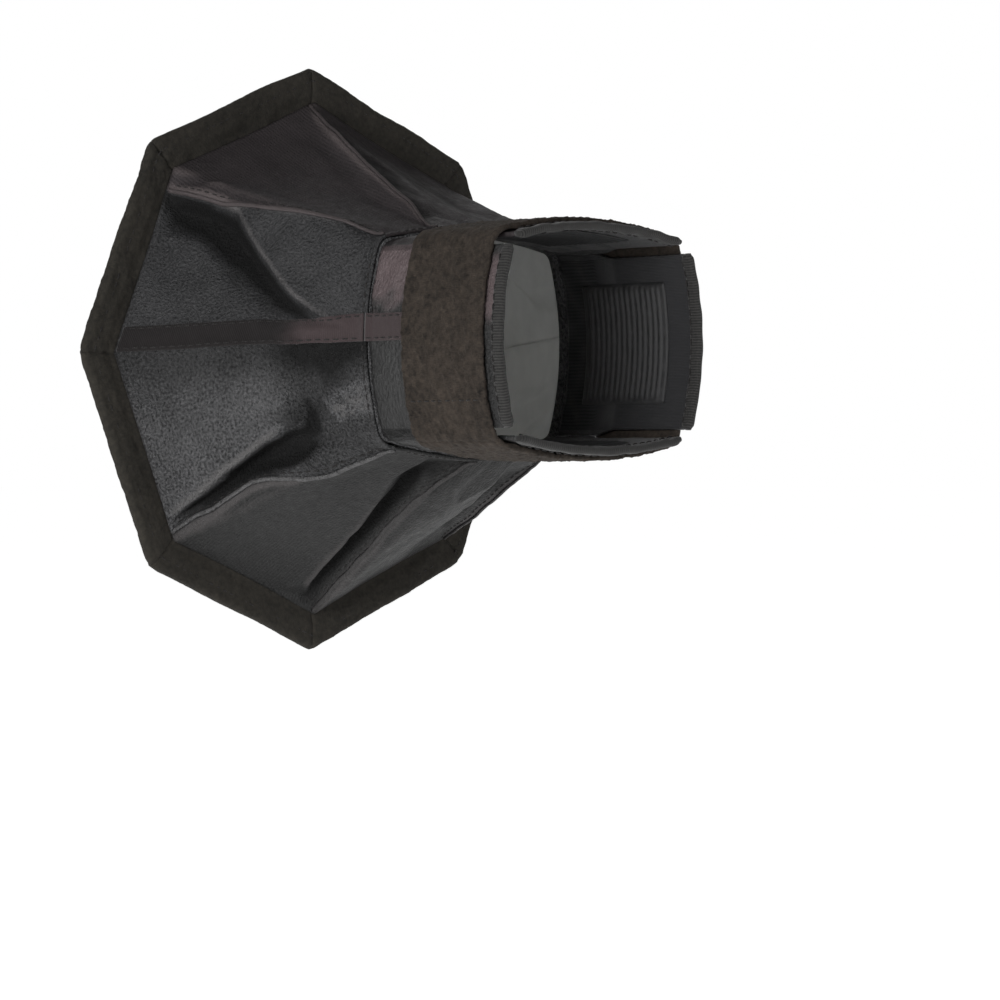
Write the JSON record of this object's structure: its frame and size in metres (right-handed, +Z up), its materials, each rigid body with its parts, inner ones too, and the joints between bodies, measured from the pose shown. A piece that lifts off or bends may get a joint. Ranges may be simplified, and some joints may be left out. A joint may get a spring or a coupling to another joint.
{
  "type": "flash softbox",
  "caption": "Folding octagonal softbox with a white front diffuser, soft silver-lined walls and a hook-and-loop strap that clamps its rear sleeve round a portable flash head.",
  "frame": {"origin": "centre of the sleeve's rear opening, on the sleeve's axis, where a flash head is pushed in and strapped", "axes": "+Y along the axis towards the flash head, -Y the way the light goes, +Z up with the octagon's corners at top and bottom, +X the side whose strap is sewn down"},
  "size_m": [0.2, 0.144, 0.2],
  "materials": {
    "panel_leather": "fine pebble grain, satin sheen",
    "silver_lining": "metallised cloth with a fine ribbed weave",
    "seam_webbing": "flat woven tape, stitched along both edges",
    "hem_felt": "matt brushed tape",
    "diffuser_cloth": "white translucent cloth",
    "spring_steel": "rolled flat strip",
    "ferrule_brass": "crimped flat sleeve",
    "binding_tape": "ribbed binding",
    "grip_rubber": "matt, fine ribs",
    "strap_loop": "brushed loop pile",
    "hook_tape": "moulded hooks"
  },
  "bodies": {
    "neck": {"waist_band": "binding_tape", "flap_near": "panel_leather", "flap_top": "panel_leather", "binding_near": "binding_tape", "binding_top": "binding_tape", "grip_pad_near": "grip_rubber", "grip_pad_top": "grip_rubber", "strap_band": "strap_loop"},
    "rim": {"panel_1": "panel_leather", "panel_2": "panel_leather", "panel_3": "panel_leather", "panel_4": "panel_leather", "panel_5": "panel_leather", "panel_6": "panel_leather", "panel_7": "panel_leather", "panel_8": "panel_leather", "lining_1": "silver_lining", "lining_2": "silver_lining", "lining_3": "silver_lining", "lining_4": "silver_lining", "lining_5": "silver_lining", "lining_6": "silver_lining", "lining_7": "silver_lining", "lining_8": "silver_lining", "seam_tape_1": "seam_webbing", "seam_tape_2": "seam_webbing", "seam_tape_3": "seam_webbing", "seam_tape_4": "seam_webbing", "seam_tape_5": "seam_webbing", "seam_tape_6": "seam_webbing", "seam_tape_7": "seam_webbing", "seam_tape_8": "seam_webbing", "hem_1": "hem_felt", "hem_2": "hem_felt", "hem_3": "hem_felt", "hem_4": "hem_felt", "hem_5": "hem_felt", "hem_6": "hem_felt", "hem_7": "hem_felt", "hem_8": "hem_felt", "front_diffuser": "diffuser_cloth", "spring_hoop": "spring_steel", "hoop_ferrule": "ferrule_brass"},
    "flap_far": {"flap_far": "panel_leather", "binding_far": "binding_tape", "grip_pad_far": "grip_rubber", "strap_landing": "strap_loop"},
    "flap_bottom": {"flap_bottom": "panel_leather", "binding_bottom": "binding_tape", "grip_pad_bottom": "grip_rubber"},
    "strap_bottom": {"strap_bottom": "strap_loop"},
    "strap_tail": {"strap_tail": "strap_loop", "hook_patch": "hook_tape"}
  },
  "joints": [
    {"name": "collapse", "type": "slide", "parent": "neck", "child": "rim", "axis": [0, 1, 0], "range_m": [0, 0.06], "deforming": ["panel_1", "panel_2", "panel_3", "panel_4", "panel_5", "panel_6", "panel_7", "panel_8", "lining_1", "lining_2", "lining_3", "lining_4", "lining_5", "lining_6", "lining_7", "lining_8", "seam_tape_1", "seam_tape_2", "seam_tape_3", "seam_tape_4", "seam_tape_5", "seam_tape_6", "seam_tape_7", "seam_tape_8"]},
    {"name": "strap_open", "type": "hinge", "parent": "neck", "child": "strap_bottom", "pos_m": [0.04084, -0.0255, -0.03298], "axis": [0, -1, 0], "range_deg": [0, 90]},
    {"name": "strap_peel", "type": "hinge", "parent": "strap_bottom", "child": "strap_tail", "pos_m": [-0.04084, -0.0255, -0.03298], "axis": [0, -1, 0], "range_deg": [0, 90]},
    {"name": "flap_far_splay", "type": "hinge", "parent": "neck", "child": "flap_far", "pos_m": [-0.04569, -0.0606, 0], "axis": [0, 0, 1], "range_deg": [0, 5.4]},
    {"name": "flap_bottom_splay", "type": "hinge", "parent": "neck", "child": "flap_bottom", "pos_m": [0, -0.0606, -0.03664], "axis": [-1, 0, 0], "range_deg": [0, 5.4]}
  ],
  "couplings": [
    {"joint": "flap_far_splay", "follows": "strap_open", "ratio": 0.06},
    {"joint": "flap_bottom_splay", "follows": "strap_open", "ratio": 0.06}
  ]
}
